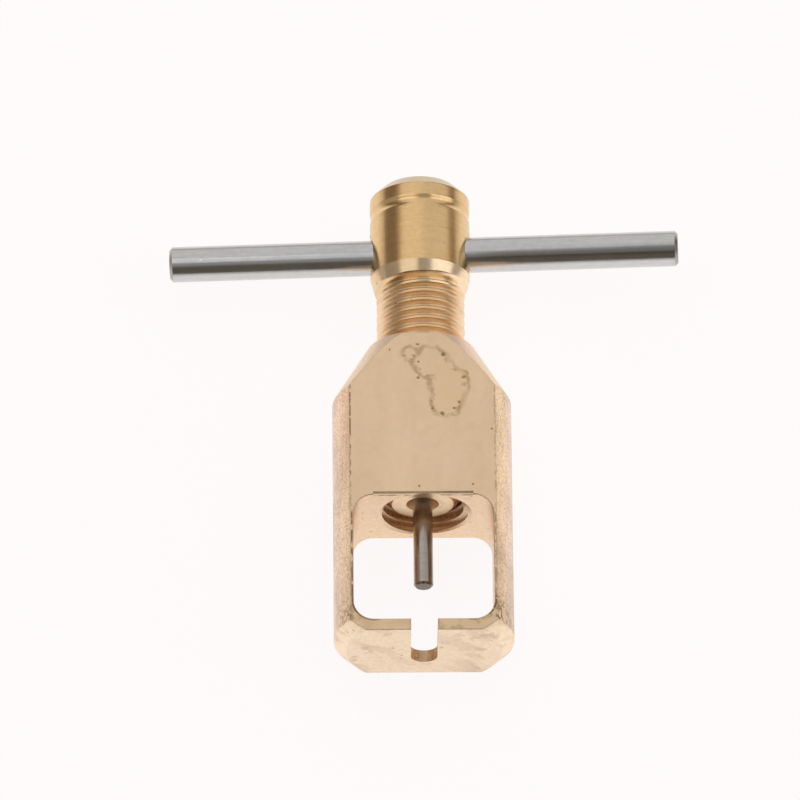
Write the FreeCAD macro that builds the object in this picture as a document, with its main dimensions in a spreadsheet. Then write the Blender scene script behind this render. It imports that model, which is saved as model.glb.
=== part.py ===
"""A small brass screw press (pinion puller): forked body, feed screw, T-bar and push pin.

Frame, in millimetres: the origin is on the screw's axis, in the outer face of the jaw.
+Y runs along the axis from the jaw to the screw's head, +X to the right along the T-bar,
and +Z is the normal of the front flat, the one that the U-slot opens through.
"""
import FreeCAD, Part
import os
import Sketcher

# The driving dimensions, in millimetres unless the name says otherwise.
DIMENSIONS = [
    # the body: a round bar with two flats, a cone at the top and a jaw at the bottom
    ("body_diameter", 18.0),
    ("across_flats", 10.5),
    ("body_length", 32.8),
    ("cone_length", 5.9),
    ("cone_top_diameter", 11.0),
    ("jaw_thickness", 1.25),
    ("jaw_chamfer_width", 1.25),
    ("jaw_chamfer_length", 1.1),
    ("edge_break", 0.12),
    # the window that the pinion goes into, milled through both flats
    ("window_width", 14.0),
    ("window_ceiling", 14.8),
    ("window_corner_radius", 2.0),
    ("window_step_height", 0.35),
    ("window_step_depth", 0.3),
    # the U-slot for the motor shaft; its round end is centred behind the screw's axis
    ("slot_width", 2.65),
    ("slot_centre_depth", 1.25),
    # the thread, a 60 degree form truncated at crest and root
    ("pitch", 1.0),
    ("flank_slope", 0.5774),
    ("screw_major_diameter", 8.92),
    ("screw_root_diameter", 8.0),
    ("screw_groove_width", 0.72),
    ("screw_thread_start", 15.71),
    ("screw_thread_turns", 24.25),
    ("nut_minor_diameter", 8.2),
    ("nut_major_diameter", 9.08),
    ("nut_axial_clearance", 0.06),
    ("nut_thread_start", 13.21),
    ("nut_thread_turns", 21.0),
    ("screw_groove_overrun", 0.49),
    ("nut_groove_overrun", 0.3),
    # the body's countersinks: true at the top, and off the axis in the window's ceiling
    ("countersink_diameter", 9.16),
    ("ceiling_sink_diameter", 9.3),
    ("ceiling_sink_right", 0.27),
    ("ceiling_sink_forward", 0.55),
    # the feed screw, one turned piece; heights are from the jaw's outer face
    ("screw_end_height", 16.1),
    ("screw_end_diameter", 6.2),
    ("neck_height", 38.9),
    ("shoulder_height", 41.2),
    ("head_top_height", 51.05),
    ("head_diameter", 10.1),
    ("head_chamfer", 1.25),
    ("head_groove_height", 47.9),
    ("head_groove_depth", 0.25),
    ("head_groove_width", 1.0),
    ("head_edge_radius", 0.12),
    # the T-bar, pressed through the head
    ("bar_height", 43.8),
    ("bar_diameter", 3.6),
    ("bar_length", 51.5),
    ("bar_offset", 0.4),
    ("bar_chamfer", 0.3),
    ("bar_tilt_degrees", 3.5),
    ("bar_hole_chamfer_start", 4.5),
    # the push pin, seated in the screw's lower end
    ("pin_diameter", 1.95),
    ("pin_tip_height", 7.05),
    ("pin_root_height", 24.0),
    ("pin_seat_gap", 0.1),
    ("pin_tip_chamfer", 0.2),
    ("pin_bore_diameter", 2.0),
    ("pin_bore_mouth_diameter", 3.3),
    ("pin_bore_mouth_depth", 1.1),
]

CLEAR = 3.0  # how far a cutting outline reaches past the solid that it cuts, in mm
SAME_PLACE = 1e-6  # points closer than this, in mm, count as one
NEAR_PLANE = 1e-3  # an edge whose box is this close to a plane, in mm, lies in it
LEAST_CUT = 1e-3  # a cut that removes less than this, in mm3, counts as a miss

doc = FreeCAD.newDocument("pinion_puller")


def make_sheet():
    """The spreadsheet that holds one driving dimension in each row."""
    sheet = doc.addObject("Spreadsheet::Sheet", "dims")
    for row, (alias, size) in enumerate(DIMENSIONS, start=1):
        sheet.set(f"A{row}", alias)
        sheet.set(f"B{row}", str(size))
        sheet.setAlias(f"B{row}", alias)
    doc.recompute()
    return sheet


dims = make_sheet()


def number(formula):
    """The value of a formula of the sheet's cells, as a plain number."""
    result = dims.evalExpression(formula)
    return float(getattr(result, "Value", result))


def make_body(label):
    """An empty body for one piece; its label names the piece's file."""
    body = doc.addObject("PartDesign::Body", label)
    body.Label = label
    return body


def make_sketch(body, name, role):
    """An empty sketch on one of the body's own origin planes."""
    sketch = body.newObject("Sketcher::SketchObject", name)
    plane = next(item for item in body.Origin.OriginFeatures if item.Role == role)
    sketch.AttachmentSupport = [(plane, "")]
    sketch.MapMode = "FlatFace"
    return sketch


def bind(sketch, kind, *terms):
    """A constraint whose last term is a formula of the sheet's cells."""
    *places, formula = terms
    index = sketch.addConstraint(Sketcher.Constraint(kind, *places, number(formula)))
    sketch.setExpression(f"Constraints[{index}]", formula)


def add_outline(sketch, corners):
    """A closed outline of straight lines through corners given as pairs of formulas."""
    first = sketch.GeometryCount
    places = [FreeCAD.Vector(number(across), number(along), 0) for across, along in corners]
    count = len(corners)
    for side in range(count):
        line = Part.LineSegment(places[side], places[(side + 1) % count])
        sketch.addGeometry(line, False)
    for side in range(count):
        following = first + (side + 1) % count
        sketch.addConstraint(Sketcher.Constraint("Coincident", first + side, 2, following, 1))
    for side, (across, along) in enumerate(corners):
        bind(sketch, "DistanceX", -1, 1, first + side, 1, across)
        bind(sketch, "DistanceY", -1, 1, first + side, 1, along)


def add_circle(sketch, across, along, radius):
    """A circle whose centre and radius are formulas."""
    centre = FreeCAD.Vector(number(across), number(along), 0)
    index = sketch.addGeometry(Part.Circle(centre, FreeCAD.Vector(0, 0, 1), number(radius)), False)
    bind(sketch, "DistanceX", -1, 1, index, 3, across)
    bind(sketch, "DistanceY", -1, 1, index, 3, along)
    bind(sketch, "Radius", index, radius)


def revolve(body, name, sketch):
    """A solid turned about the sketch's vertical axis."""
    feature = body.newObject("PartDesign::Revolution", name)
    feature.Profile = sketch
    feature.ReferenceAxis = (sketch, ["V_Axis"])
    feature.Angle = 360
    doc.recompute()


def cut(body, kind, name, sketch, **settings):
    """A feature that removes material, with a check that it really removed some."""
    before = body.Shape.Volume
    feature = body.newObject(kind, name)
    feature.Profile = sketch
    for setting, value in settings.items():
        setattr(feature, setting, value)
    doc.recompute()
    if body.Shape.Volume > before - LEAST_CUT:
        raise RuntimeError(f"{name} removes nothing")
    return feature


def turned_cut(body, name, sketch, axis="V_Axis"):
    """A cut turned about one of the sketch's axes."""
    cut(body, "PartDesign::Groove", name, sketch, ReferenceAxis=(sketch, [axis]), Angle=360)


def pocket_through(body, name, sketch):
    """A pocket through everything, to both sides of its sketch."""
    cut(body, "PartDesign::Pocket", name, sketch, SideType="Symmetric", Type="ThroughAll")


def pocket(body, name, sketch, depth):
    """A pocket to a depth given as a formula."""
    feature = cut(body, "PartDesign::Pocket", name, sketch, Length=number(depth))
    feature.setExpression("Length", depth)


def cut_thread(body, name, sketch, turns):
    """A right-hand helical groove about the body's Y axis."""
    height = f"dims.pitch * dims.{turns}"
    feature = cut(
        body, "PartDesign::SubtractiveHelix", name, sketch,
        ReferenceAxis=(sketch, ["V_Axis"]), Mode="pitch-height-angle",
        Pitch=number("dims.pitch"), Height=number(height), LeftHanded=False, Reversed=False,
    )
    feature.setExpression("Pitch", "dims.pitch")
    feature.setExpression("Height", height)


def add_rectangle(sketch, left, right, low, high):
    """A rectangle between four formulas."""
    add_outline(sketch, [(left, low), (right, low), (right, high), (left, high)])


def add_groove_outline(sketch, centre, levels):
    """A thread groove's section, symmetric about its centre height: (radius, half width) levels."""
    lower = [(radius, f"{centre} - {half}") for radius, half in levels]
    upper = [(radius, f"{centre} + {half}") for radius, half in reversed(levels)]
    add_outline(sketch, lower + upper)


def round_edges(body, name, chosen, radius):
    """Rounds every edge of the body that chosen() picks, to a radius given as a formula."""
    names = [f"Edge{index}" for index, edge in enumerate(body.Shape.Edges, start=1) if chosen(edge)]
    base = body.Tip
    rounding = body.newObject("PartDesign::Fillet", name)
    rounding.Base = (base, names)
    rounding.setExpression("Radius", radius)
    doc.recompute()


def is_window_corner(edge):
    """True for the window's four corners, the straight edges that run from flat to flat."""
    corner = number("dims.window_width / 2")
    ends = [vertex.Point for vertex in edge.Vertexes]
    if len(ends) != 2 or any(abs(abs(end.x) - corner) > SAME_PLACE for end in ends):
        return False
    return abs(ends[0].y - ends[1].y) < SAME_PLACE < abs(ends[0].z - ends[1].z)


def is_on_flat(edge):
    """True for the edges that bound the front and back flats."""
    flat = number("dims.across_flats / 2")
    box = edge.BoundBox
    is_level = box.ZLength < NEAR_PLANE
    return is_level and abs(abs(box.ZMin) - flat) < NEAR_PLANE


def is_head_edge(edge):
    """True for the rims of the head: its shoulder and both edges of its top chamfer."""
    heights = ("dims.shoulder_height", "dims.head_top_height - dims.head_chamfer", "dims.head_top_height")
    box = edge.BoundBox
    is_flat = box.YLength < NEAR_PLANE
    return is_flat and any(abs(box.YMin - number(height)) < NEAR_PLANE for height in heights)


def puller_body():
    """The forked body, turned from round bar, then milled, slotted, bored and tapped."""
    body = make_body("puller_body")

    blank = make_sketch(body, "blank_outline", "XY_Plane")
    radius = "dims.body_diameter / 2"
    add_outline(blank, [
        ("0", "0"),
        (f"{radius} - dims.jaw_chamfer_width", "0"),
        (radius, "dims.jaw_chamfer_length"),
        (radius, "dims.body_length - dims.cone_length"),
        ("dims.cone_top_diameter / 2", "dims.body_length"),
        ("0", "dims.body_length"),
    ])
    revolve(body, "turned_blank", blank)

    flats = make_sketch(body, "flats_outline", "XZ_Plane")
    beyond = f"{radius} + {CLEAR}"
    flat = "dims.across_flats / 2"
    add_rectangle(flats, f"-({beyond})", beyond, flat, beyond)
    add_rectangle(flats, f"-({beyond})", beyond, f"-({beyond})", f"-{flat}")
    pocket_through(body, "two_flats", flats)

    window = make_sketch(body, "window_outline", "XY_Plane")
    half = "dims.window_width / 2"
    add_rectangle(window, f"-{half}", half, "dims.jaw_thickness", "dims.window_ceiling")
    pocket_through(body, "window", window)
    round_edges(body, "window_corners", is_window_corner, "dims.window_corner_radius")
    round_edges(body, "flat_edges", is_on_flat, "dims.edge_break")

    # The front pass of the cutter ran a little higher and left a shallow step above the window.
    step = make_sketch(body, "window_step_outline", "XY_Plane")
    step.setExpression("AttachmentOffset.Base.z", flat)
    rise = "dims.window_ceiling + dims.window_step_height"
    straight = f"{half} - dims.window_corner_radius"
    add_rectangle(step, f"-({straight})", straight, f"dims.window_ceiling - {CLEAR}", rise)
    pocket(body, "window_step", step, "dims.window_step_depth")

    slot = make_sketch(body, "slot_outline", "XZ_Plane")
    half_slot = "dims.slot_width / 2"
    add_rectangle(slot, f"-{half_slot}", half_slot, "-dims.slot_centre_depth", beyond)
    pocket(body, "slot", slot, "dims.jaw_thickness * 2")
    slot_end = make_sketch(body, "slot_end_outline", "XZ_Plane")
    add_circle(slot_end, "0", "-dims.slot_centre_depth", half_slot)
    pocket(body, "slot_end", slot_end, "dims.jaw_thickness * 2")

    bore = make_sketch(body, "bore_outline", "XY_Plane")
    minor = "dims.nut_minor_diameter / 2"
    mouth = "dims.countersink_diameter / 2"
    sink = "(dims.countersink_diameter - dims.nut_minor_diameter) / 2"
    add_outline(bore, [
        ("0", "dims.window_ceiling"),
        (minor, "dims.window_ceiling"),
        (minor, f"dims.body_length - {sink}"),
        (mouth, "dims.body_length"),
        ("0", "dims.body_length"),
    ])
    turned_cut(body, "tapping_bore", bore)

    # The ceiling was countersunk by hand, a little forward and to the right of the bore.
    dimple = make_sketch(body, "ceiling_sink_outline", "XY_Plane")
    dimple.setExpression("AttachmentOffset.Base.x", "dims.ceiling_sink_right")
    dimple.setExpression("AttachmentOffset.Base.z", "dims.ceiling_sink_forward")
    rim = "dims.ceiling_sink_diameter / 2"
    add_outline(dimple, [
        ("0", "dims.window_ceiling"),
        (rim, "dims.window_ceiling"),
        ("0", f"dims.window_ceiling + {rim}"),
    ])
    turned_cut(body, "ceiling_sink", dimple)

    thread = make_sketch(body, "nut_groove_outline", "XY_Plane")
    floor = "dims.nut_major_diameter / 2"
    inside = f"{minor} - dims.nut_groove_overrun"
    slack = "(dims.pitch - dims.screw_groove_width) / 2 + dims.nut_axial_clearance"
    narrow = f"({slack} + (dims.screw_major_diameter / 2 - {floor}) * dims.flank_slope)"
    wide = f"({slack} + (dims.screw_major_diameter / 2 - {minor}) * dims.flank_slope)"
    add_groove_outline(thread, "dims.nut_thread_start", [(floor, narrow), (minor, wide), (inside, wide)])
    cut_thread(body, "nut_thread", thread, "nut_thread_turns")
    return body


def feed_screw():
    """The screw and its head, turned in one piece, with the bar's hole across the head."""
    body = make_body("feed_screw")
    major = "dims.screw_major_diameter / 2"
    head = "dims.head_diameter / 2"
    end = "dims.screw_end_diameter / 2"
    bore = "dims.pin_bore_diameter / 2"
    mouth = "dims.pin_bore_mouth_diameter / 2"
    seat = "dims.pin_root_height + dims.pin_seat_gap"

    blank = make_sketch(body, "screw_outline", "XY_Plane")
    add_outline(blank, [
        (mouth, "dims.screw_end_height"),
        (end, "dims.screw_end_height"),
        (major, f"dims.screw_end_height + {major} - {end}"),
        (major, "dims.neck_height"),
        (head, "dims.shoulder_height"),
        (head, "dims.head_top_height - dims.head_chamfer"),
        (f"{head} - dims.head_chamfer", "dims.head_top_height"),
        ("0", "dims.head_top_height"),
        ("0", seat),
        (bore, seat),
        (bore, "dims.screw_end_height + dims.pin_bore_mouth_depth"),
    ])
    revolve(body, "turned_screw", blank)
    round_edges(body, "head_edges", is_head_edge, "dims.head_edge_radius")

    ring = make_sketch(body, "head_groove_outline", "XY_Plane")
    depth = "dims.head_groove_depth"
    arc = f"((dims.head_groove_width ^ 2 / 4 + {depth} ^ 2) / (2 * {depth}))"
    add_circle(ring, f"{head} - {depth} + {arc}", "dims.head_groove_height", arc)
    turned_cut(body, "head_groove", ring)

    hole = make_sketch(body, "bar_hole_outline", "YZ_Plane")
    add_circle(hole, "dims.bar_height", "0", "dims.bar_diameter / 2")
    pocket_through(body, "bar_hole", hole)
    countersink_bar_hole(body)

    thread = make_sketch(body, "screw_groove_outline", "XY_Plane")
    root = "dims.screw_root_diameter / 2"
    wide = "dims.screw_groove_width / 2"
    narrow = f"({wide} - ({major} - {root}) * dims.flank_slope)"
    outside = f"{major} + dims.screw_groove_overrun"
    # The body is turned by the bar's tilt, so the groove starts that much lower to stay in mesh.
    start = "(dims.screw_thread_start - dims.pitch * dims.bar_tilt_degrees / 360)"
    add_groove_outline(thread, start, [(root, narrow), (major, wide), (outside, wide)])
    cut_thread(body, "screw_thread", thread, "screw_thread_turns")
    tilt(body)
    return body


def countersink_bar_hole(body):
    """A 45 degree countersink at each mouth of the bar's hole."""
    sketch = make_sketch(body, "bar_hole_chamfer_outline", "XY_Plane")
    near = "dims.bar_hole_chamfer_start"
    far = f"dims.head_diameter / 2 + {CLEAR}"
    low = "(dims.bar_height + dims.bar_diameter / 2)"
    high = f"({low} + {far} - {near})"
    for side in ("", "-"):
        add_outline(sketch, [
            (f"{side}({near})", "dims.bar_height"),
            (f"{side}({far})", "dims.bar_height"),
            (f"{side}({far})", high),
            (f"{side}({near})", low),
        ])
    height = number("dims.bar_height")
    ends = [FreeCAD.Vector(across, height, 0) for across in (-CLEAR, CLEAR)]
    centre_line = Part.LineSegment(*ends)
    index = sketch.addGeometry(centre_line, True)
    for point, across in ((1, f"-{CLEAR}"), (2, f"{CLEAR}")):
        bind(sketch, "DistanceX", -1, 1, index, point, across)
        bind(sketch, "DistanceY", -1, 1, index, point, "dims.bar_height")
    turned_cut(body, "bar_hole_chamfers", sketch, axis="Axis0")


def tilt(body):
    """Turns a piece about the screw's axis to the bar's rest angle, right end raised."""
    turn = FreeCAD.Rotation(FreeCAD.Vector(0, 1, 0), -number("dims.bar_tilt_degrees"))
    body.Placement = FreeCAD.Placement(FreeCAD.Vector(0, 0, 0), turn)


def t_bar():
    """The plain steel bar through the head, chamfered at both ends."""
    body = make_body("t_bar")
    sketch = make_sketch(body, "bar_outline", "YZ_Plane")
    add_circle(sketch, "dims.bar_height", "0", "dims.bar_diameter / 2")
    sketch.setExpression("AttachmentOffset.Base.z", "dims.bar_offset")
    bar = body.newObject("PartDesign::Pad", "bar")
    bar.Profile = sketch
    bar.SideType = "Symmetric"
    bar.setExpression("Length", "dims.bar_length")
    doc.recompute()
    rims = [
        f"Edge{index}" for index, edge in enumerate(body.Shape.Edges, start=1)
        if isinstance(edge.Curve, Part.Circle)
    ]
    ends = body.newObject("PartDesign::Chamfer", "bar_ends")
    ends.Base = (bar, rims)
    ends.setExpression("Size", "dims.bar_chamfer")
    doc.recompute()
    tilt(body)
    return body


def push_pin():
    """The steel pin that pushes the shaft out, chamfered at its tip."""
    body = make_body("push_pin")
    sketch = make_sketch(body, "pin_outline", "XY_Plane")
    radius = "dims.pin_diameter / 2"
    add_outline(sketch, [
        ("0", "dims.pin_tip_height"),
        (f"{radius} - dims.pin_tip_chamfer", "dims.pin_tip_height"),
        (radius, "dims.pin_tip_height + dims.pin_tip_chamfer"),
        (radius, "dims.pin_root_height"),
        ("0", "dims.pin_root_height"),
    ])
    revolve(body, "pin", sketch)
    return body


def check_document():
    """Stops if any object failed to build."""
    doc.recompute()
    for item in doc.Objects:
        if "Invalid" in item.State or "Error" in item.State:
            raise RuntimeError(f"{item.Label} is {item.State}")


def write_parts(bodies):
    """Writes each piece to its own file, after a check of its shape."""
    os.makedirs("parts", exist_ok=True)
    for body in bodies:
        shape = body.Shape
        if shape.isNull() or not shape.isValid():
            raise RuntimeError(f"{body.Label} has no valid shape")
        shape.exportStep(f"parts/{body.Label}.step")
        box = shape.optimalBoundingBox()
        print(f"{body.Label}: {len(shape.Solids)} solid, {shape.Volume:.2f} mm3,",
              f"{box.XLength:.2f} x {box.YLength:.2f} x {box.ZLength:.2f} mm")


pieces = [puller_body(), feed_screw(), t_bar(), push_pin()]
check_document()
write_parts(pieces)
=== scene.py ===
"""The looks of a small brass pinion puller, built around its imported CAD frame.

Everything is in metres in the CAD frame: +Y runs from the jaw to the screw's head, +X along the
T-bar, and +Z is the normal of the front flat. The tool lies on its back flat.
Material graphs work in millimetres, because grain, scratches and stains are sized that way.
"""

import math

import bmesh
import bpy
import numpy as np
from mathutils import Matrix, Vector


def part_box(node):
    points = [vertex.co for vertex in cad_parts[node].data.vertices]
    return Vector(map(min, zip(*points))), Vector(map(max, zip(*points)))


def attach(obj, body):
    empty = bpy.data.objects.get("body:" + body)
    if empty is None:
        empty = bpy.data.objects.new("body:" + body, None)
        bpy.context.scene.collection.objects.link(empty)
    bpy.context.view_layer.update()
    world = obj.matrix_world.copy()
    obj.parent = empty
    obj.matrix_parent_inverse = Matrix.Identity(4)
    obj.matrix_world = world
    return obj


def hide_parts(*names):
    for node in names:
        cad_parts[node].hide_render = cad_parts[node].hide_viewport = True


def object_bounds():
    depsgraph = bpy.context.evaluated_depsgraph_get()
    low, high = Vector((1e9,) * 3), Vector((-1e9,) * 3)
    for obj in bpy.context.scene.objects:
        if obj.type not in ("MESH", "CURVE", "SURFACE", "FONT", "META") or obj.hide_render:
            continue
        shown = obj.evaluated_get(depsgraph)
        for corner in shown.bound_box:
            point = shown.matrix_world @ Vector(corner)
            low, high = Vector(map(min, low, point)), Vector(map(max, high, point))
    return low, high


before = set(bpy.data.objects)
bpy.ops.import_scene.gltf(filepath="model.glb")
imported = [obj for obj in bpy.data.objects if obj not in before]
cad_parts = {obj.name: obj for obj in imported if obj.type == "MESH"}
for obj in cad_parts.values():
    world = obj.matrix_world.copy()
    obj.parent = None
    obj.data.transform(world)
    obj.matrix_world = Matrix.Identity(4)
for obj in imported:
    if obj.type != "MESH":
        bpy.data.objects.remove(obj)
cad_low, cad_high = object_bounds()

MM = 0.001  # one millimetre in metres

# The camera: a long lens that looks down at the tool from the jaw's side.
CAMERA_AIM = Vector((-2.165, 27.737, 0.0)) * MM
CAMERA_DISTANCE = 1.0712
CAMERA_LEAN = math.radians(25.574)  # from straight above, towards the jaw
CAMERA_YAW = math.radians(-0.513)
CAMERA_ROLL = math.radians(-0.572)
CAMERA_LENS = 479.0
CAMERA_SENSOR = 36.0
CAMERA_NEAR = 0.05
CAMERA_FAR = 20.0

# The soft boxes: name, angle from straight above in degrees, width in metres and power in watts.
SOFTBOXES = [("softbox_left", -26.0, 0.74, 0.80), ("softbox_right", 51.0, 0.95, 1.20)]
SOFTBOX_DEPTH = 0.55
SOFTBOX_DISTANCE = 1.0

# The light tent: how bright each of its zones is, and their colours.
TENT_LEFT, TENT_RIGHT = 0.76, 0.64
TENT_LEFT_EDGE, TENT_RIGHT_EDGE = 0.185, 0.255
TENT_ABOVE = 0.36
TENT_DIMMER = 0.33
TENT_IN_FRONT = 0.125
TENT_WHITE = (1.0, 0.985, 0.975)
TENT_EDGE_BROWN = (1.0, 0.80, 0.66)
TENT_FRONT_BROWN = (1.0, 0.87, 0.70)

# The floor and the backdrop: PALE is their colour, seen directly at an even level.
PALE = (1.0, 0.974, 0.971)
BACKDROP_LEVEL = 0.975
FLOOR_LEVEL = 0.925
FLOOR_GLOW_LOW, FLOOR_GLOW_HIGH = 0.45, 0.94
FLOOR_GREY = (0.11, 0.11, 0.11)
FLOOR_SIZE = 6.0
FLOOR_GAP = 0.02 * MM

# The feed screw, in millimetres. The CAD frame gives its ends, its head and the bar.
screw_low, screw_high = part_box("feed_screw")
bar_low, bar_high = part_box("t_bar")
SCREW_END = screw_low.y / MM
SCREW_END_RADIUS = 3.1
PIN_BORE = 1.0
PIN_SEAT = 24.1
BORE_MOUTH = 1.65
BORE_MOUTH_DEPTH = 1.1
NECK = 38.9
SHOULDER = 41.2
HEAD_TOP = screw_high.y / MM
HEAD_RADIUS = (screw_high.z - screw_low.z) / 2 / MM
HEAD_CHAMFER = 1.25
HEAD_GROOVE = 47.9
HEAD_GROOVE_WIDTH = 1.0
HEAD_GROOVE_DEPTH = 0.15
HEAD_GROOVE_ROUNDING = 0.08

# The bar and its cross hole, countersunk at both mouths.
BAR_RADIUS = (bar_high.y - bar_low.y) / 2 / MM
BAR_HEIGHT = (bar_high.y + bar_low.y) / 2 / MM
BAR_TILT = math.radians(3.5)
COUNTERSINK_START = 4.5
COUNTERSINK_PASSES = 4
COUNTERSINK_MIN_COSINE = 0.2

# The thread, a 60 degree form with rounded crests and roots; its ends run out in a short arc.
PITCH = 1.0
THREAD_START = 15.71 - PITCH * BAR_TILT / (2 * math.pi)
THREAD_TURNS = 24.25
THREAD_MAJOR = 4.46
THREAD_ROOT = 4.0
GROOVE_HALF_WIDTH = 0.36
FLANK_SLOPE = 0.5774
CREST_ROUNDING = 0.09
ROOT_ROUNDING = 0.12
RUN_OUT = 0.15

# Wear of the turned surface: waves of (times around, radians per millimetre along, phase).
WEAR_DEPTH = 0.03
WEAR_WAVES = [(1, 0.9, 0.0), (2, -1.7, 1.3), (3, 0.5, 4.0), (5, -2.9, 0.0)]

# How finely the screw is meshed.
ARC_STEPS = 5
SCREW_SEGMENTS = 220
HOLE_SEGMENTS = 96
WELD = 0.002 * MM
SHARP_ANGLE = 55.0

# The body's window and jaw, and the line beside its flats, in millimetres.
WINDOW_HALF = 7.0
WINDOW_CORNER = 2.0
JAW = 1.25
FLAT_LINE = 7.26

# The marks on the front flat, in millimetres: (across, along, radius).
STAIN_DROPS = [
    (-1.3, 30.4, 0.9), (0.9, 29.4, 1.8), (2.5, 28.7, 1.1), (2.7, 27.0, 2.0), (2.4, 25.0, 1.7),
]
STAIN_DRIFT = 1.6
STAIN_MERGE = 0.6
PITS = [
    (-0.4, 15.8, 0.16), (5.0, 15.9, 0.12), (6.9, 22.0, 0.16), (-3.2, 30.8, 0.13),
    (-4.9, 14.9, 0.24), (-0.4, 31.4, 0.20), (2.2, 30.3, 0.30), (-0.3, 29.5, 0.17),
    (-0.4, 27.7, 0.19), (4.2, 27.8, 0.30), (1.0, 24.3, 0.20), (2.0, 23.7, 0.30),
    (3.2, 24.3, 0.17), (3.7, 25.0, 0.16),
]

# Colours of the brass body, of the dirt on it, and of the light and shade painted on it.
FLAT_TAN, FLAT_PALE = (0.90, 0.655, 0.42), (0.955, 0.725, 0.50)
OIL_YELLOW = (0.93, 0.67, 0.40)
OIL_RIM = (0.50, 0.32, 0.14)
OIL_CRUST = (0.31, 0.175, 0.07)
LINE_BROWN = (0.34, 0.215, 0.09)
PIT_BROWN = (0.26, 0.155, 0.075)
SIDE_GOLD, SIDE_ROSE = (0.905, 0.69, 0.44), (0.905, 0.64, 0.46)
BLUSH = (0.86, 0.565, 0.40)
GOLD_PAINTED_HIGHLIGHT = (0.96, 0.73, 0.43)
OUTER_PINK_PAINTED_REFLECTION = (0.87, 0.68, 0.53)
HOLLOW_BROWN = (0.48, 0.30, 0.17)
SPECK_BROWN = (0.40, 0.30, 0.18)
CONE_PALE = (0.99, 0.76, 0.55)
CEILING_TAN, CEILING_PALE = (0.87, 0.645, 0.44), (0.94, 0.715, 0.51)
JAW_TAN, JAW_PALE = (0.88, 0.69, 0.49), (0.94, 0.775, 0.58)
SMEAR = (0.68, 0.51, 0.34)
SMUDGE = (0.60, 0.44, 0.30)
FLECK_BROWN = (0.40, 0.26, 0.15)
GRIME_OLIVE = (0.42, 0.27, 0.12)
CRACK_BROWN = (0.19, 0.115, 0.06)
EDGE_BROWN = (0.19, 0.12, 0.07)
STRIP_TAN = (0.78, 0.56, 0.33)
STRIP_OLIVE = (0.50, 0.345, 0.165)
STEP_PAINTED_LIGHT = (1.0, 0.81, 0.60)
STEP_LINE = (0.36, 0.23, 0.13)

# Colours of the brass screw.
HEAD_DEEP, HEAD_GOLD = (0.88, 0.585, 0.275), (0.92, 0.635, 0.325)
HEAD_TOP_BROWN = (0.60, 0.455, 0.285)
ROOT_PALE, CREST_GOLD = (0.90, 0.67, 0.44), (0.97, 0.65, 0.36)
SHOULDER_PAINTED_SHADE, SHOULDER_PAINTED_HIGHLIGHT = (0.83, 0.605, 0.36), (0.97, 0.75, 0.50)
THREAD_SIDES_PAINTED_LIGHT = (1.0, 0.79, 0.63)
END_TAN, END_PALE = (0.96, 0.72, 0.48), (1.0, 0.82, 0.60)
MARK_BROWN = (0.60, 0.43, 0.21)
SPOT_BROWN = (0.30, 0.19, 0.09)

# Colours of the steel bar and the steel pin.
BAR_GREY, BAR_LIGHT = (0.60, 0.595, 0.59), (0.635, 0.625, 0.615)
BAR_PIT = (0.24, 0.22, 0.20)
BAR_NICK = (0.85, 0.84, 0.80)
BAR_PAINTED_SHADE = (0.31, 0.29, 0.27)
BAR_END = (0.36, 0.35, 0.34)
PIN_DARK, PIN_GREY = (0.43, 0.385, 0.35), (0.47, 0.42, 0.38)
PIN_PAINTED_SHADE = (0.22, 0.215, 0.235)
PIN_TIP = (0.165, 0.14, 0.125)


def add_camera():
    """The scene's camera: a long lens above the jaw's side, a little off the tool's axis."""
    back = Vector((
        math.sin(CAMERA_YAW),
        -math.sin(CAMERA_LEAN) * math.cos(CAMERA_YAW),
        math.cos(CAMERA_LEAN) * math.cos(CAMERA_YAW),
    ))
    right = Vector((0, 1, 0)).cross(back).normalized()
    up = back.cross(right)
    turn = Matrix.Rotation(CAMERA_ROLL, 3, back)
    axes = Matrix((turn @ right, turn @ up, back)).transposed()
    data = bpy.data.cameras.new("camera")
    data.lens = CAMERA_LENS
    data.sensor_width = CAMERA_SENSOR
    data.clip_start = CAMERA_NEAR
    data.clip_end = CAMERA_FAR
    camera = bpy.data.objects.new("camera", data)
    bpy.context.scene.collection.objects.link(camera)
    position = CAMERA_AIM + back * CAMERA_DISTANCE
    camera.matrix_world = Matrix.Translation(position) @ axes.to_4x4()
    bpy.context.scene.camera = camera


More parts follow.
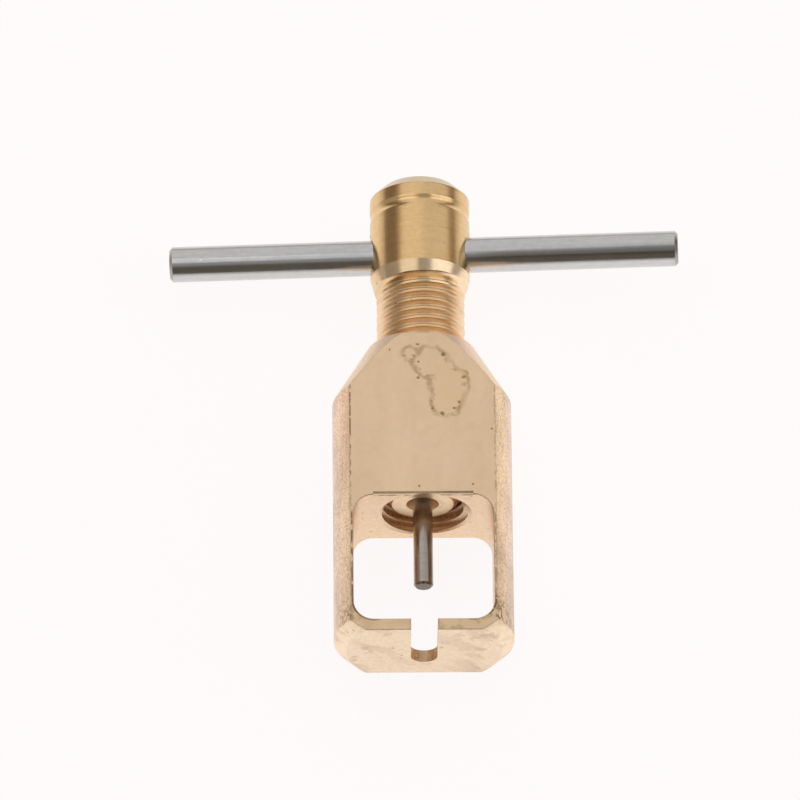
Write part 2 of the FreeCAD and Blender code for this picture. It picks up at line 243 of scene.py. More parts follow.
class Graph:
    """A node tree that is built by short calls; values may be numbers, colours or sockets."""

    def __init__(self, tree):
        self.tree = tree
        tree.nodes.clear()

    def node(self, kind, settings=None, **inputs):
        """A node with its settings and inputs; an input's key is its socket's name or _index."""
        made = self.tree.nodes.new(kind)
        for key, value in (settings or {}).items():
            setattr(made, key, value)
        for key, value in inputs.items():
            by_index = key.startswith("_")
            socket = made.inputs[int(key[1:]) if by_index else key.replace("_", " ")]
            self.feed(socket, value)
        return made

    def feed(self, socket, value):
        """Links a socket to another, or sets its value."""
        if isinstance(value, bpy.types.NodeSocket):
            self.tree.links.new(value, socket)
        elif socket.type == "RGBA":
            socket.default_value = (*value, 1.0)
        else:
            socket.default_value = value

    # numbers

    def math(self, operation, *values):
        """A sum, product or other function of one to three values."""
        made = self.tree.nodes.new("ShaderNodeMath")
        made.operation = operation
        for socket, value in zip(made.inputs, values):
            self.feed(socket, value)
        return made.outputs[0]

    def less(self, value, amount):
        """The value less an amount."""
        return self.math("SUBTRACT", value, amount)

    def product(self, *values):
        """All the numbers multiplied together."""
        result = values[0]
        for value in values[1:]:
            result = self.math("MULTIPLY", result, value)
        return result

    def hypot(self, first, second):
        """The length of the vector whose parts are first and second."""
        squares = self.math("MULTIPLY_ADD", first, first, self.math("MULTIPLY", second, second))
        return self.math("SQRT", squares)

    def away(self, x, y, centre_x, centre_y):
        """The distance of (x, y) from a centre."""
        return self.hypot(self.less(x, centre_x), self.less(y, centre_y))

    def step(self, value, low, high):
        """0 at low and beyond, 1 at high and beyond, smooth between; low may be the larger."""
        rising = low < high
        made = self.node(
            "ShaderNodeMapRange", {"interpolation_type": "SMOOTHSTEP"},
            Value=value, From_Min=min(low, high), From_Max=max(low, high),
            To_Min=0.0 if rising else 1.0, To_Max=1.0 if rising else 0.0,
        )
        return made.outputs[0]

    def between(self, value, start, low, high, stop):
        """1 from low to high, and a smooth fall to 0 at start and at stop."""
        return self.product(self.step(value, start, low), self.step(value, stop, high))

    def near(self, value, centre, reach, core):
        """1 within core of the centre, and a smooth fall to 0 at reach."""
        return self.step(self.math("ABSOLUTE", self.less(value, centre)), reach, core)

    def level(self, share, first, second):
        """The number that is share of the way from first to second."""
        made = self.node("ShaderNodeMix", {"data_type": "FLOAT"}, _0=share, _2=first, _3=second)
        return made.outputs[0]

    # colours

    def blend(self, share, first, second):
        """The colour that is share of the way from first to second."""
        made = self.node("ShaderNodeMix", {"data_type": "RGBA"}, _0=share, _6=first, _7=second)
        return made.outputs[2]

    def scaled(self, value, factor):
        """A colour or a place multiplied by a factor."""
        made = self.node("ShaderNodeVectorMath", {"operation": "SCALE"}, _0=value, Scale=factor)
        return made.outputs[0]

    # places

    def vector(self, x, y, z):
        """A vector from three numbers."""
        return self.node("ShaderNodeCombineXYZ", _0=x, _1=y, _2=z).outputs[0]

    def parts(self, vector):
        """A vector's three numbers."""
        return self.node("ShaderNodeSeparateXYZ", _0=vector).outputs

    def place(self):
        """The point of the surface in the CAD frame, in millimetres."""
        return self.scaled(self.node("ShaderNodeTexCoord").outputs["Object"], 1 / MM)

    def facing(self):
        """The surface's normal in the CAD frame, as three numbers."""
        return self.parts(self.node("ShaderNodeTexCoord").outputs["Normal"])

    def stretched(self, place, x, y, z):
        """The place with each direction scaled; a small factor draws the pattern out that way."""
        factors = (x, y, z)
        made = self.node("ShaderNodeVectorMath", {"operation": "MULTIPLY"}, _0=place, _1=factors)
        return made.outputs[0]

    # patterns

    def noise(self, place, size, seed, detail=2.0):
        """Smooth noise around 0.5; size is the millimetres from one bright patch to the next."""
        made = self.node(
            "ShaderNodeTexNoise", {"noise_dimensions": "4D"},
            Vector=place, W=seed * 7.31, Scale=1 / size, Detail=detail,
        )
        return made.outputs[0]

    def vary(self, value, spread):
        """A factor around 1 from a noise value around 0.5."""
        return self.math("MULTIPLY_ADD", value, 2 * spread, 1 - spread)

    def specks(self, place, spacing, radius, share, seed):
        """1 inside small round specks; share is how many cells of the pattern hold one."""
        shift = (seed, 2 * seed, 3 * seed)
        moved = self.node("ShaderNodeVectorMath", {"operation": "ADD"}, _0=place, _1=shift)
        cells = self.node("ShaderNodeTexVoronoi", Vector=moved.outputs[0], Scale=1 / spacing)
        chosen = self.math("GREATER_THAN", self.parts(cells.outputs["Color"])[0], 1 - share)
        size = radius / spacing
        inside = self.step(cells.outputs["Distance"], size, 0.5 * size)
        return self.math("MULTIPLY", chosen, inside)

    # the finished surface

    def metal(self, colour, roughness, relief, depth):
        """The finished metal surface; relief is 0 to 1 and depth is its height in millimetres."""
        bump = self.node("ShaderNodeBump", Strength=1.0, Distance=depth * MM, Height=relief)
        surface = self.node(
            "ShaderNodeBsdfPrincipled",
            Base_Color=colour, Roughness=roughness, Metallic=1.0, Normal=bump.outputs[0],
        )
        self.node("ShaderNodeOutputMaterial", Surface=surface.outputs[0])


def add_world():
    """A soft light tent: a bright far side with dark edges, dim above and dark low in front.

    It lights the tool and shows in its reflections; the camera sees a plain pale backdrop."""
    world = bpy.data.worlds.new("light_tent")
    bpy.context.scene.world = world
    world.use_nodes = True
    graph = Graph(world.node_tree)
    across, along, height = graph.parts(graph.node("ShaderNodeTexCoord").outputs["Generated"])
    # the angle from straight up, in degrees, seen along the screw: negative on the left
    angle = graph.math("DEGREES", graph.math("ARCTAN2", across, height))

    # the far side: one even wall with a dark brown edge low on each side
    wall = graph.level(graph.step(angle, -4, 20), TENT_LEFT, TENT_RIGHT)
    left_edge = graph.between(angle, -108, -84, -58, -38)
    right_edge = graph.between(angle, 64, 78, 88, 104)
    far_side = graph.step(along, -0.05, 0.40)
    behind = graph.level(left_edge, wall, TENT_LEFT_EDGE)
    behind = graph.level(right_edge, behind, TENT_RIGHT_EDGE)
    strength = graph.level(far_side, TENT_ABOVE, behind)

    # in front: dim above the camera and dark below it
    strength = graph.level(graph.step(along, -0.02, -0.16), strength, TENT_DIMMER)
    in_front = graph.step(along, -0.52, -0.72)
    strength = graph.level(in_front, strength, TENT_IN_FRONT)
    edges = graph.product(graph.math("ADD", left_edge, right_edge), far_side)
    light = graph.blend(edges, TENT_WHITE, TENT_EDGE_BROWN)
    light = graph.blend(in_front, light, TENT_FRONT_BROWN)

    seen = graph.node("ShaderNodeLightPath").outputs["Is Camera Ray"]
    light = graph.blend(seen, light, PALE)
    strength = graph.level(seen, strength, BACKDROP_LEVEL)
    background = graph.node("ShaderNodeBackground", Color=light, Strength=strength)
    graph.node("ShaderNodeOutputWorld", Surface=background.outputs[0])


def add_softboxes():
    """Two soft boxes above the tool, with a gap between them for the camera."""
    for name, degrees, width, power in SOFTBOXES:
        tilt = math.radians(degrees)
        data = bpy.data.lights.new(name, "AREA")
        data.shape = "RECTANGLE"
        data.size = width
        data.size_y = SOFTBOX_DEPTH
        data.energy = power
        box = bpy.data.objects.new(name, data)
        bpy.context.scene.collection.objects.link(box)
        box.location = Vector((math.sin(tilt), 0.0, math.cos(tilt))) * SOFTBOX_DISTANCE
        box.rotation_euler = (0.0, tilt, 0.0)


def add_floor():
    """A plain pale floor that glows evenly like a light table, and less at a low angle."""
    bpy.ops.mesh.primitive_plane_add(size=FLOOR_SIZE, location=(0, 0, cad_low.z - FLOOR_GAP))
    floor = bpy.context.object
    floor.name = "floor"
    material, graph = new_material("pale_floor")
    seen = graph.node("ShaderNodeLightPath").outputs["Is Camera Ray"]
    slant = graph.node("ShaderNodeLayerWeight", Blend=0.5).outputs["Facing"]
    glow = graph.level(graph.step(slant, 1.0, 0.62), FLOOR_GLOW_LOW, FLOOR_GLOW_HIGH)
    surface = graph.node(
        "ShaderNodeBsdfPrincipled",
        Base_Color=FLOOR_GREY, Roughness=0.7, Specular_IOR_Level=0.1,
        Emission_Color=PALE, Emission_Strength=graph.level(seen, glow, FLOOR_LEVEL),
    )
    graph.node("ShaderNodeOutputMaterial", Surface=surface.outputs[0])
    floor.data.materials.append(material)


def bezier(start, middle, end, share):
    """The point at share of the way along a curve that leaves and meets two straight lines."""
    return (1 - share) ** 2 * start + 2 * share * (1 - share) * middle + share ** 2 * end


def rounded_outline(corners):
    """Points along an outline of (radius, height, rounding, spacing) corners, in millimetres.

    A corner with a rounding becomes a short curve, and spacing is the gap between the points on
    the line that follows the corner."""
    places = [np.array(corner[:2], float) for corner in corners]
    points = [places[0]]
    for index in range(1, len(corners)):
        here, before = places[index], places[index - 1]
        arc = [here]
        rounding = corners[index][2]
        if rounding:
            after = places[index + 1]
            into = (here - before) / np.linalg.norm(here - before)
            out = (after - here) / np.linalg.norm(after - here)
            turning = math.acos(float(np.clip(into @ out, -1, 1)))
            setback = rounding * math.tan(turning / 2)
            start, end = here - into * setback, here + out * setback
            arc = [bezier(start, here, end, step / ARC_STEPS) for step in range(ARC_STEPS + 1)]
        reach = arc[0] - points[-1]
        steps = max(1, round(float(np.linalg.norm(reach)) / corners[index - 1][3]))
        points += [points[-1] + reach * step / steps for step in range(1, steps)]
        points += arc
    return np.array(points)


def soft_min(first, second, width):
    """The smaller of two arrays, blended over width where they meet."""
    near = np.clip(0.5 + 0.5 * (second - first) / width, 0, 1)
    return second * (1 - near) + first * near - width * near * (1 - near)


def thread_radius(height, turn):
    """The thread groove's surface as a radius, at heights in millimetres and turns around."""
    place = (height - THREAD_START) / PITCH - turn
    nearest = np.round(place)
    away = np.abs(place - nearest) * PITCH
    root_half_width = GROOVE_HALF_WIDTH - (THREAD_MAJOR - THREAD_ROOT) * FLANK_SLOPE
    flank = THREAD_ROOT + (away - root_half_width) / FLANK_SLOPE
    groove = -soft_min(-flank, np.full_like(flank, -THREAD_ROOT), ROOT_ROUNDING)
    turns_cut = nearest + turn
    ending = np.clip((turns_cut - THREAD_TURNS + RUN_OUT) / RUN_OUT, 0, 1)
    before = np.clip(-turns_cut / RUN_OUT, 0, 1)
    return groove + (ending + before) * (HEAD_RADIUS - THREAD_ROOT)


def worn(height, turn):
    """A shallow unevenness of the turned surface, in millimetres, as a sum of slow waves."""
    around = 2 * math.pi * turn
    waves = sum(
        np.sin(times * around + along * height + phase) for times, along, phase in WEAR_WAVES
    )
    return WEAR_DEPTH * (waves + len(WEAR_WAVES)) / (2 * len(WEAR_WAVES))


def sunk_for_bar(radius, height, turn):
    """Radius after the countersinks at the two mouths of the bar's hole."""
    around = 2 * math.pi * turn
    cosine = np.maximum(np.abs(np.cos(around)), COUNTERSINK_MIN_COSINE)
    sunk = radius
    for _ in range(COUNTERSINK_PASSES):
        from_axis = np.hypot(height - BAR_HEIGHT, sunk * np.sin(around))
        depth = COUNTERSINK_START + np.maximum(from_axis - BAR_RADIUS, 0)
        sunk = np.minimum(radius, depth / cosine)
    return sunk


def grooved(radius, height):
    """Radius after the shallow round-bottomed groove in the head."""
    depth = HEAD_GROOVE_DEPTH
    arc = (HEAD_GROOVE_WIDTH ** 2 / 4 + depth ** 2) / (2 * depth)
    reach = np.minimum(np.abs(height - HEAD_GROOVE), arc)
    ring = HEAD_RADIUS - depth + arc - np.sqrt(arc ** 2 - reach ** 2)
    return soft_min(radius, ring, HEAD_GROOVE_ROUNDING)


def feed_screw():
    """The turned brass screw: threaded shank, cone, and plain head with a shallow groove."""
    end, top = SCREW_END, HEAD_TOP
    chamfer = THREAD_MAJOR - SCREW_END_RADIUS
    outline = rounded_outline([
        (0.0, PIN_SEAT, 0, 0.5),
        (PIN_BORE, PIN_SEAT, 0, 1.0),
        (PIN_BORE, end + BORE_MOUTH_DEPTH, 0.1, 0.2),
        (BORE_MOUTH, end, 0.06, 0.12),
        (SCREW_END_RADIUS, end, 0.08, 0.06),
        (THREAD_MAJOR, end + chamfer, 0.1, 0.06),
        (THREAD_MAJOR, NECK, 0.5, 0.06),
        (HEAD_RADIUS, SHOULDER, 0.14, 0.15),
        (HEAD_RADIUS, HEAD_GROOVE - 1.0, 0, 0.05),
        (HEAD_RADIUS, HEAD_GROOVE + 0.9, 0, 0.15),
        (HEAD_RADIUS, top - HEAD_CHAMFER, 0.14, 0.12),
        (HEAD_RADIUS - HEAD_CHAMFER, top, 0.14, 0.15),
        (0.0, top, 0, 1.0),
    ])
    turns = np.arange(SCREW_SEGMENTS)[None, :] / SCREW_SEGMENTS
    radius, height, turn = np.broadcast_arrays(outline[:, :1], outline[:, 1:], turns)

    # the thread and its wear, which fades out towards the shoulder
    on_shank = (radius > BORE_MOUTH + 0.1) & (height < SHOULDER)
    worn_radius = radius - worn(height, turn) * np.clip(SHOULDER - height, 0, 1)
    threaded = soft_min(worn_radius, thread_radius(height, turn), CREST_ROUNDING)
    shaped = np.where(on_shank, threaded, radius)

    # the head's groove and the countersinks of the bar's hole
    on_side = (height > SHOULDER) & (height < top - HEAD_CHAMFER)
    shaped = np.where(on_side, grooved(shaped, height), shaped)
    on_head = (height > NECK) & (radius > HEAD_RADIUS - HEAD_CHAMFER)
    shaped = np.where(on_head, sunk_for_bar(shaped, height, turn), shaped)

    around = 2 * math.pi * turn - BAR_TILT
    across, front = shaped * np.cos(around), -shaped * np.sin(around)
    points = np.stack([across, height, front], axis=-1).reshape(-1, 3) * MM
    return grid_piece("feed_screw_turned", points, len(outline), SCREW_SEGMENTS)


def grid_piece(name, points, rings, segments):
    """A closed tube of quads through rings of points, its end rings gathered to a point."""
    ring = np.arange(rings - 1)[:, None] * segments
    first = np.arange(segments)[None, :]
    second = (first + 1) % segments
    above = ring + segments
    quads = np.stack([ring + first, above + first, above + second, ring + second], axis=-1)
    mesh = bpy.data.meshes.new(name)
    mesh.from_pydata(points.tolist(), [], quads.reshape(-1, 4).tolist())
    work = bmesh.new()
    work.from_mesh(mesh)
    bmesh.ops.remove_doubles(work, verts=work.verts, dist=WELD)
    bmesh.ops.recalc_face_normals(work, faces=work.faces)
    work.to_mesh(mesh)
    work.free()
    mesh.shade_smooth()
    piece = bpy.data.objects.new(name, mesh)
    bpy.context.scene.collection.objects.link(piece)
    return piece


def drill_for_bar(piece):
    """Cuts the bar's cross hole through the head."""
    bpy.ops.mesh.primitive_cylinder_add(
        vertices=HOLE_SEGMENTS, radius=BAR_RADIUS * MM, depth=4 * HEAD_RADIUS * MM,
        location=(0, BAR_HEIGHT * MM, 0), rotation=(0, math.pi / 2 - BAR_TILT, 0),
    )
    drill = bpy.context.object
    hole = piece.modifiers.new("bar_hole", "BOOLEAN")
    hole.operation = "DIFFERENCE"
    hole.solver = "EXACT"
    hole.object = drill
    drilled = piece.evaluated_get(bpy.context.evaluated_depsgraph_get())
    mesh = bpy.data.meshes.new_from_object(drilled)
    piece.modifiers.clear()
    piece.data = mesh
    bpy.data.objects.remove(drill)
    mesh.shade_smooth()
    mesh.set_sharp_from_angle(angle=math.radians(SHARP_ANGLE))


def new_material(name):
    """An empty node material and the graph that fills it."""
    material = bpy.data.materials.new(name)
    material.use_nodes = True
    return material, Graph(material.node_tree)


def outside_stain(graph, place):
    """How far a point of the flat is outside the dried oil stain, in millimetres."""
    x, y, _ = graph.parts(place)
    drift_x = graph.noise(place, size=1.3, seed=21)
    drift_y = graph.noise(place, size=1.1, seed=22)
    x = graph.math("MULTIPLY_ADD", drift_x, STAIN_DRIFT, graph.less(x, STAIN_DRIFT / 2))
    y = graph.math("MULTIPLY_ADD", drift_y, STAIN_DRIFT, graph.less(y, STAIN_DRIFT / 2))
    nearest = 10.0
    for centre_x, centre_y, radius in STAIN_DROPS:
        away = graph.away(x, y, centre_x, centre_y)
        nearest = graph.math("SMOOTH_MIN", graph.less(away, radius), nearest, STAIN_MERGE)
    return nearest


def stained(graph, place, colour, front):
    """The colour with the dried oil stain on it: a broken brown rim and a crust of specks."""
    x = graph.parts(place)[0]
    outside = outside_stain(graph, place)
    inside = graph.product(graph.step(outside, 0.1, -0.2), front)
    cloud = graph.noise(place, size=1.4, seed=27)
    yellowed = graph.level(graph.step(x, 0.5, 3.0), 0.35, 1.1)
    colour = graph.blend(graph.product(inside, cloud, yellowed), colour, OIL_YELLOW)

    rim = graph.near(outside, -0.10, reach=0.40, core=0.02)
    patches = graph.step(graph.noise(place, size=1.2, seed=23), 0.42, 0.58)
    broken = graph.level(patches, 0.45, 1.0)
    colour = graph.blend(graph.product(rim, broken, front, 0.62), colour, OIL_RIM)

    crust = graph.step(graph.noise(place, size=0.55, seed=24, detail=3.0), 0.58, 0.68)
    at_rim = graph.between(outside, -0.75, -0.3, 0.1, 0.28)
    clustered = graph.step(graph.noise(place, size=2.4, seed=28), 0.46, 0.56)
    return graph.blend(graph.product(crust, at_rim, clustered, front, 0.55), colour, OIL_CRUST)


def pitted(graph, place, colour, front):
    """The colour with scattered pits all over, and the larger ones in front at their places."""
    x, y, _ = graph.parts(place)
    pits = graph.specks(place, spacing=2.1, radius=0.16, share=0.16, seed=26)
    pits = graph.product(pits, 0.6)
    ragged = graph.less(graph.noise(place, size=0.3, seed=29, detail=3.0), 0.5)
    ragged = graph.product(ragged, 0.55)
    for pit_x, pit_y, radius in PITS:
        away = graph.math("ADD", graph.away(x, y, pit_x, pit_y), ragged)
        pit = graph.product(graph.step(away, radius, 0.3 * radius), front, 0.8)
        pits = graph.math("MAXIMUM", pits, pit)
    return graph.blend(pits, colour, PIT_BROWN)


def flat_brass(graph, place):
    """The milled flats: even and dull, with soft bands, pits and one dried oil stain in front."""
    x, y, z = graph.parts(place)
    broad = graph.noise(place, size=6.0, seed=1)
    bands = graph.noise(graph.stretched(place, 1, 0.1, 1), size=3.2, seed=2)
    mottle = graph.noise(place, size=0.8, seed=3)
    colour = graph.blend(broad, FLAT_TAN, FLAT_PALE)
    colour = graph.scaled(colour, graph.vary(bands, spread=0.14))
    colour = graph.scaled(colour, graph.vary(mottle, spread=0.07))
    colour = stained(graph, place, colour, graph.step(z, 5.0, 5.2))

    # a dirty line where the flats meet the round sides, darkest at the upper left
    line = graph.near(graph.math("ABSOLUTE", x), FLAT_LINE, reach=0.15, core=0.05)
    stretched = graph.stretched(place, 1, 0.7, 1)
    dashes = graph.step(graph.noise(stretched, size=0.45, seed=25), 0.40, 0.54)
    upper_left = graph.product(graph.step(x, 0, -1), graph.between(y, 15, 18, 26.6, 27.6))
    weight = graph.level(upper_left, 0.42, 0.95)
    colour = graph.blend(graph.product(line, dashes, weight), colour, LINE_BROWN)
    return pitted(graph, place, colour, graph.step(z, 4.7, 4.8))


def side_brass(graph, place):
    """The round sides: bead-rough and speckled, pinkish at the upper left, with a painted pale
    reflection on the outside and a painted highlight and painted shade on the right.
    """
    x, y, _ = graph.parts(place)
    out = graph.math("ABSOLUTE", x)
    left, right = graph.step(x, 0, -1), graph.step(x, 0, 1)
    wander = graph.product(graph.less(graph.noise(place, size=5.0, seed=31), 0.5), 6.0)
    height = graph.math("ADD", y, wander)
    colour = graph.blend(graph.noise(place, size=2.4, seed=32), SIDE_GOLD, SIDE_ROSE)

    # soft zones: a tarnished blush at the upper left, painted light and shade, and cloudy tone
    blush = graph.product(left, graph.step(height, 16, 19), graph.step(out, 8.6, 8.0))
    colour = graph.blend(graph.product(blush, 0.55), colour, BLUSH)
    # painted highlight: a bright gold stripe along the right-hand side, away from the jaw
    right_painted_highlight = graph.product(right, graph.between(out, 7.5, 7.8, 8.0, 8.4))
    right_painted_highlight = graph.product(right_painted_highlight, graph.step(height, 11, 15), 0.6)
    colour = graph.blend(right_painted_highlight, colour, GOLD_PAINTED_HIGHLIGHT)
    # painted reflection: the round sides turn paler and pinker towards their outer edges
    colour = graph.blend(graph.product(graph.step(out, 7.9, 8.7), 0.85), colour, OUTER_PINK_PAINTED_REFLECTION)
    # painted shade: the right-hand side is darker towards the jaw
    right_painted_shade = graph.level(graph.product(right, graph.step(y, 13, 7)), 1.0, 0.88)
    clouds = graph.vary(graph.noise(place, size=3.4, seed=36), spread=0.30)
    colour = graph.scaled(colour, graph.product(right_painted_shade, clouds))

    # the rough surface: fine speckle, streaks along the axis and a few dark specks
    speckle = graph.noise(place, size=0.24, seed=33, detail=3.0)
    colour = graph.scaled(colour, graph.vary(speckle, spread=0.36))
    hollows = graph.product(graph.step(speckle, 0.50, 0.34), 0.37)
    colour = graph.blend(hollows, colour, HOLLOW_BROWN)
    streaks = graph.noise(graph.stretched(place, 1, 0.15, 1), size=0.5, seed=34)
    colour = graph.scaled(colour, graph.vary(streaks, spread=0.16))
    dark = graph.specks(place, spacing=1.3, radius=0.2, share=0.3, seed=35)
    colour = graph.blend(graph.product(dark, 0.35), colour, SPECK_BROWN)

    # the top cone is paler, and the walls of the slot get painted shade, a little darker
    colour = graph.blend(graph.step(y, 26.8, 27.2), colour, CONE_PALE)
    # painted shade: the walls of the narrow slot are a little darker
    return graph.scaled(colour, graph.level(graph.step(out, 1.5, 1.4), 1.0, 0.97))


def end_brass(graph, place):
    """The faces across the axis: pale, with soft slanting smears on the jaw's outer face."""
    x, y, z = graph.parts(place)
    jaw = graph.step(y, 2.0, 1.0)
    ceiling = graph.blend(graph.noise(place, size=2.2, seed=41), CEILING_TAN, CEILING_PALE)
    pale = graph.blend(graph.noise(place, size=1.5, seed=42), JAW_TAN, JAW_PALE)
    colour = graph.blend(jaw, ceiling, pale)
    mottle = graph.noise(place, size=0.4, seed=43, detail=3.0)
    colour = graph.scaled(colour, graph.vary(mottle, spread=0.16))

    slanted = graph.vector(
        graph.math("ADD", x, graph.product(z, 0.8)), graph.product(z, 0.65), 0.0,
    )
    outer = graph.level(graph.step(graph.math("ABSOLUTE", x), 2.0, 6.0), 0.5, 1.0)
    smears = graph.step(graph.noise(slanted, size=2.6, seed=44, detail=5.0), 0.48, 0.60)
    colour = graph.blend(graph.product(smears, outer, jaw, 0.55), colour, SMEAR)
    smudges = graph.step(graph.noise(place, size=1.5, seed=45, detail=5.0), 0.56, 0.66)
    colour = graph.blend(graph.product(smudges, outer, jaw, 0.55), colour, SMUDGE)
    flecks = graph.specks(place, spacing=1.0, radius=0.18, share=0.34, seed=46)
    return graph.blend(graph.product(flecks, 0.60), colour, FLECK_BROWN)


def grimy(graph, place, colour, flat, wall):
    """The colour with grime in the window's lower corners, along its edges and on the jaw."""
    x, y, z = graph.parts(place)
    out = graph.math("ABSOLUTE", x)
    away = graph.away(out, y, 6.5, 1.9)
    right = graph.level(graph.step(x, -1, 1), 0.7, 1.0)
    corner = graph.product(graph.step(away, 3.0, 0.9), right, graph.step(y, 0.9, 1.3))
    patches = graph.step(graph.noise(place, size=0.8, seed=51, detail=4.0), 0.46, 0.60)
    colour = graph.blend(graph.product(corner, patches, 0.70), colour, GRIME_OLIVE)
    cracks = graph.near(graph.noise(place, size=1.1, seed=54), 0.5, reach=0.046, core=0.016)
    cracks = graph.product(cracks, graph.level(wall, 1.0, 0.1), graph.step(z, 1.0, 3.5))
    colour = graph.blend(graph.product(corner, cracks, 0.85), colour, CRACK_BROWN)

    # a broken dark line along the window's lower outline, with its round corners
    past_side = graph.math("MAXIMUM", graph.less(out, WINDOW_HALF - WINDOW_CORNER), 0.0)
    past_end = graph.math("MAXIMUM", graph.less(JAW + WINDOW_CORNER, y), 0.0)
    outside = graph.less(graph.hypot(past_side, past_end), WINDOW_CORNER)
    edge = graph.near(outside, 0.09, reach=0.17, core=0.08)
    dashes = graph.step(graph.noise(place, size=0.7, seed=55), 0.44, 0.54)
    edge = graph.product(edge, flat, dashes, graph.step(y, 14.0, 12.5), graph.step(out, 3.8, 5.0))
    left = graph.level(graph.step(x, 1, -1), 0.5, 0.95)
    weight = graph.math("MAXIMUM", left, graph.step(y, 4.6, 3.2))
    colour = graph.blend(graph.product(edge, weight), colour, EDGE_BROWN)

    # the narrow strip of the jaw that faces the front, with olive patches on the right
    strip = graph.product(graph.step(y, 2.2, 1.3), flat)
    colour = graph.blend(graph.product(strip, 0.35), colour, STRIP_TAN)
    olive = graph.step(graph.noise(place, size=1.0, seed=57, detail=3.0), 0.48, 0.62)
    olive = graph.product(strip, olive, graph.level(graph.step(x, -1, 2), 0.15, 0.55))
    return graph.blend(olive, colour, STRIP_OLIVE)


def lined_step(graph, place, colour, step_zone):
    """The colour with painted light on the step above the window, which lies in shade, and broken
    dark lines along its edges.
    """
    x, y, z = graph.parts(place)
    upper = graph.product(graph.step(z, 5.03, 5.09), graph.step(x, 1.5, 3.0))
    scribed = graph.math("MAXIMUM", graph.step(y, 14.93, 14.89), upper)
    patches = graph.step(graph.noise(place, size=1.2, seed=56), 0.40, 0.55)
    broken = graph.level(patches, 0.35, 0.90)
    # painted light: the step, which lies in shade, is painted brighter
    colour = graph.blend(graph.product(step_zone, 0.9), colour, STEP_PAINTED_LIGHT)
    return graph.blend(graph.product(step_zone, scribed, broken), colour, STEP_LINE)


def body_brass():
    """The milled brass body: three finishes, chosen by which way the surface faces."""
    material, graph = new_material("body_brass")
    place = graph.place()
    x, y, z = graph.parts(place)
    _, normal_y, normal_z = graph.facing()
    out = graph.math("ABSOLUTE", x)
    flat = graph.step(graph.math("ABSOLUTE", normal_z), 0.90, 0.97)
    end = graph.step(graph.math("ABSOLUTE", normal_y), 0.80, 0.92)
    not_end = graph.step(end, 1, 0)

    # the window's walls and the jaw's chamfers are milled like the faces across the axis
    beside_slot = graph.step(out, 1.5, 1.6)
    wall = graph.product(graph.step(out, 7.10, 7.02), beside_slot, graph.step(y, 15.6, 15.4))
    chamfer = graph.product(graph.step(y, 1.16, 1.10), beside_slot)
    milled = graph.math("MAXIMUM", end, graph.math("MAXIMUM", wall, chamfer))
    # painted highlight: the jaw's chamfers are a little brighter
    chamfer_painted_highlight = graph.level(graph.product(chamfer, not_end), 1, 1.1)
    ends = graph.scaled(end_brass(graph, place), chamfer_painted_highlight)
    colour = graph.blend(milled, side_brass(graph, place), ends)
    colour = graph.blend(flat, colour, flat_brass(graph, place))
    colour = grimy(graph, place, colour, flat, wall)

    step_zone = graph.product(
        graph.between(y, 14.78, 14.81, 15.17, 15.20), graph.step(out, 6.0, 5.8),
        graph.between(z, 4.85, 4.93, 5.235, 5.245),
    )
    colour = lined_step(graph, place, colour, step_zone)

    grain = graph.noise(place, size=0.22, seed=52)
    even = graph.vary(graph.noise(place, size=3.0, seed=53), spread=0.12)
    rough = graph.product(graph.level(flat, graph.vary(grain, spread=0.30), even), 0.42)
    slot = graph.product(graph.step(out, 1.55, 1.50), graph.step(y, 3, 2), not_end)
    rough = graph.level(slot, rough, 0.62)
    rough = graph.level(step_zone, rough, 0.2)
    relief = graph.product(grain, graph.level(flat, 1.0, 0.15))
    graph.metal(colour, rough, relief, depth=0.03)
    return material


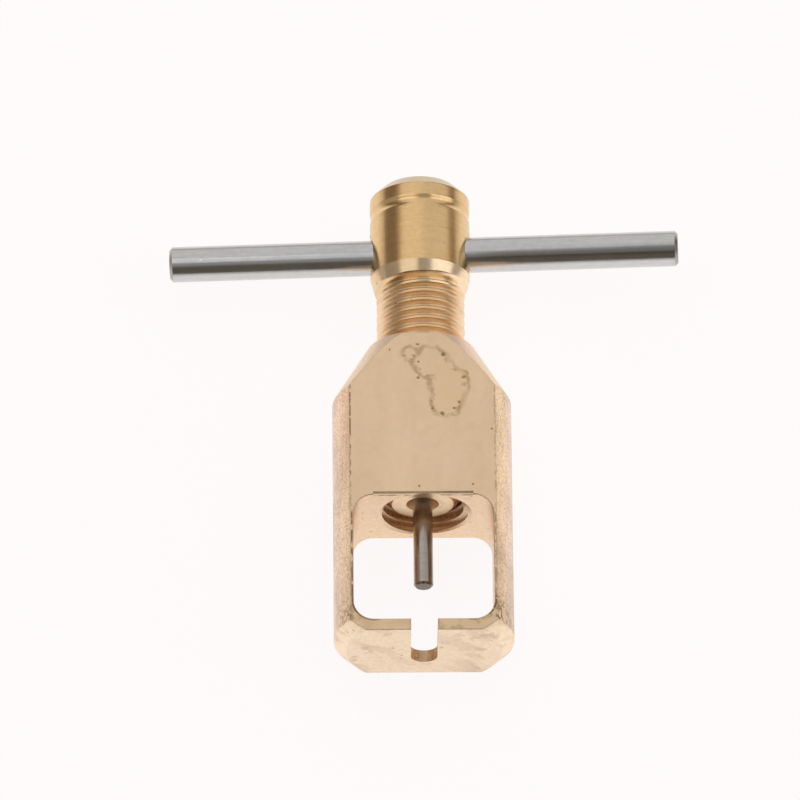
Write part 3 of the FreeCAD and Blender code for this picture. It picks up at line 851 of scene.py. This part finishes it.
def screw_brass():
    """The turned screw: golden head with a browner top, dull thread and a pale lower end."""
    material, graph = new_material("screw_brass")
    place = graph.place()
    x, y, z = graph.parts(place)
    normal_y = graph.facing()[1]
    radius = graph.hypot(x, z)
    out = graph.math("ABSOLUTE", x)
    rings = graph.vector(radius, y, graph.product(graph.math("ARCTAN2", x, z), 0.25))
    fine_rings = graph.noise(rings, size=0.16, seed=61, detail=3.0)
    colour = graph.blend(graph.noise(place, size=2.5, seed=62), HEAD_DEEP, HEAD_GOLD)

    # each part of the screw in its own tone, with painted light and shade on the cone under the
    # head and on the sides
    thread = graph.step(y, NECK + 0.1, NECK - 0.3)
    crest = graph.step(radius, THREAD_ROOT + 0.15, THREAD_MAJOR - 0.1)
    colour = graph.blend(thread, colour, graph.blend(crest, ROOT_PALE, CREST_GOLD))
    cone = graph.between(y, NECK - 0.1, NECK + 0.3, SHOULDER - 0.1, SHOULDER + 0.1)
    # painted highlight and painted shade: the cone under the head is dim on the left and bright on
    # the right
    cone_painted_light = graph.blend(graph.step(x, -0.4, 1.2), SHOULDER_PAINTED_SHADE, SHOULDER_PAINTED_HIGHLIGHT)
    colour = graph.blend(cone, colour, cone_painted_light)
    outer = graph.step(out, 3.4, 4.3)
    on_head = graph.step(y, SHOULDER - 0.1, SHOULDER + 0.1)
    # painted shade: the head is darker towards its sides
    colour = graph.scaled(colour, graph.level(graph.product(outer, on_head), 1.0, 0.88))
    # painted light: the thread is paler towards its sides
    colour = graph.blend(graph.product(outer, thread, 0.5), colour, THREAD_SIDES_PAINTED_LIGHT)
    chamfer_start = HEAD_TOP - HEAD_CHAMFER
    top = graph.step(y, chamfer_start - 0.15, chamfer_start + 0.1)
    colour = graph.blend(top, colour, HEAD_TOP_BROWN)
    end = graph.step(graph.math("ABSOLUTE", normal_y), 0.85, 0.95)
    end = graph.product(end, graph.step(y, 20, 18))
    pale = graph.blend(graph.noise(place, size=0.6, seed=63), END_TAN, END_PALE)
    colour = graph.blend(end, colour, pale)

    # turning marks, broken up into patches, and handling marks
    patches = graph.step(graph.noise(place, size=2.2, seed=64), 0.42, 0.58)
    marks = graph.step(graph.noise(rings, size=0.35, seed=65, detail=4.0), 0.52, 0.66)
    marks = graph.product(marks, patches)
    colour = graph.blend(graph.product(marks, 0.45), colour, MARK_BROWN)
    colour = graph.scaled(colour, graph.vary(fine_rings, spread=0.10))
    mottle = graph.noise(place, size=0.5, seed=66)
    colour = graph.scaled(colour, graph.vary(mottle, spread=0.10))
    spots = graph.specks(place, spacing=1.7, radius=0.17, share=0.28, seed=67)
    colour = graph.blend(graph.product(spots, 0.6), colour, SPOT_BROWN)

    dull = graph.math("MAXIMUM", graph.product(thread, 0.15), graph.product(end, 0.22))
    rough = graph.vary(graph.noise(place, size=1.4, seed=68), spread=0.35)
    rough = graph.math("ADD", graph.product(rough, 0.22), dull)
    relief = graph.math("ADD", fine_rings, graph.product(marks, 0.5))
    graph.metal(colour, rough, relief, depth=0.004)
    return material


def bar_steel():
    """The ground steel T-bar: lengthwise grain, faint mottle, pits, nicks and a band of painted
    shade.
    """
    material, graph = new_material("bar_steel")
    place = graph.place()
    x = graph.parts(place)[0]
    normal_x, normal_y, _ = graph.facing()
    colour = graph.blend(graph.noise(place, size=3.0, seed=71), BAR_GREY, BAR_LIGHT)
    grain = graph.noise(graph.stretched(place, 0.12, 1, 1), size=0.22, seed=72, detail=3.0)
    mottle = graph.noise(place, size=0.6, seed=73)
    colour = graph.scaled(colour, graph.vary(grain, spread=0.10))
    colour = graph.scaled(colour, graph.vary(mottle, spread=0.08))
    pits = graph.specks(place, spacing=1.5, radius=0.15, share=0.25, seed=74)
    colour = graph.blend(graph.product(pits, 0.5), colour, BAR_PIT)
    stretched = graph.stretched(place, 0.5, 1, 1)
    nicks = graph.specks(stretched, spacing=2.3, radius=0.14, share=0.25, seed=75)
    colour = graph.blend(graph.product(nicks, 0.6), colour, BAR_NICK)

    # painted shade in a band where the right-hand side faces the front, and dull ends
    painted_shade_band = graph.between(normal_y, -0.72, -0.56, -0.32, -0.20)
    painted_shade_band = graph.product(painted_shade_band, graph.step(x, 2, 9), 0.75)
    colour = graph.blend(painted_shade_band, colour, BAR_PAINTED_SHADE)
    end = graph.step(graph.math("ABSOLUTE", normal_x), 0.40, 0.65)
    colour = graph.blend(graph.product(end, 0.8), colour, BAR_END)

    rough = graph.vary(graph.noise(place, size=1.8, seed=76), spread=0.45)
    rough = graph.product(rough, 0.19)
    relief = graph.less(grain, graph.product(pits, 0.8))
    graph.metal(colour, rough, relief, depth=0.003)
    return material


def pin_steel():
    """The hardened push pin: dark steel with grinding rings, painted shade on the right, and a
    darker tip.
    """
    material, graph = new_material("pin_steel")
    place = graph.place()
    x, y, z = graph.parts(place)
    normal_y = graph.facing()[1]
    around = graph.vector(graph.product(graph.math("ARCTAN2", x, z), 0.1), y, 0.0)
    rings = graph.noise(around, size=0.14, seed=81, detail=3.0)
    colour = graph.blend(graph.noise(place, size=1.6, seed=82), PIN_DARK, PIN_GREY)
    colour = graph.scaled(colour, graph.vary(rings, spread=0.18))
    # painted shade: the right-hand side of the pin is darker and cooler
    colour = graph.blend(graph.product(graph.step(x, 0.1, 0.9), 0.45), colour, PIN_PAINTED_SHADE)
    tip = graph.step(graph.math("ABSOLUTE", normal_y), 0.50, 0.90)
    colour = graph.blend(tip, colour, PIN_TIP)
    streaks = graph.noise(graph.stretched(place, 1, 0.12, 1), size=0.25, seed=83)
    colour = graph.scaled(colour, graph.vary(streaks, spread=0.10))
    rough = graph.vary(graph.noise(place, size=0.8, seed=84), spread=0.40)
    graph.metal(colour, graph.product(rough, 0.20), rings, depth=0.003)
    return material


def dress(node, material):
    """Gives a CAD node its material."""
    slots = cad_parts[node].data.materials
    slots.clear()
    slots.append(material)


dress("puller_body", body_brass())
screw = feed_screw()
drill_for_bar(screw)
screw.data.materials.append(screw_brass())
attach(screw, "screw")
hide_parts("feed_screw")
dress("t_bar", bar_steel())
dress("push_pin", pin_steel())

add_camera()
add_world()
add_softboxes()
add_floor()
bpy.context.scene.view_settings.view_transform = "Standard"
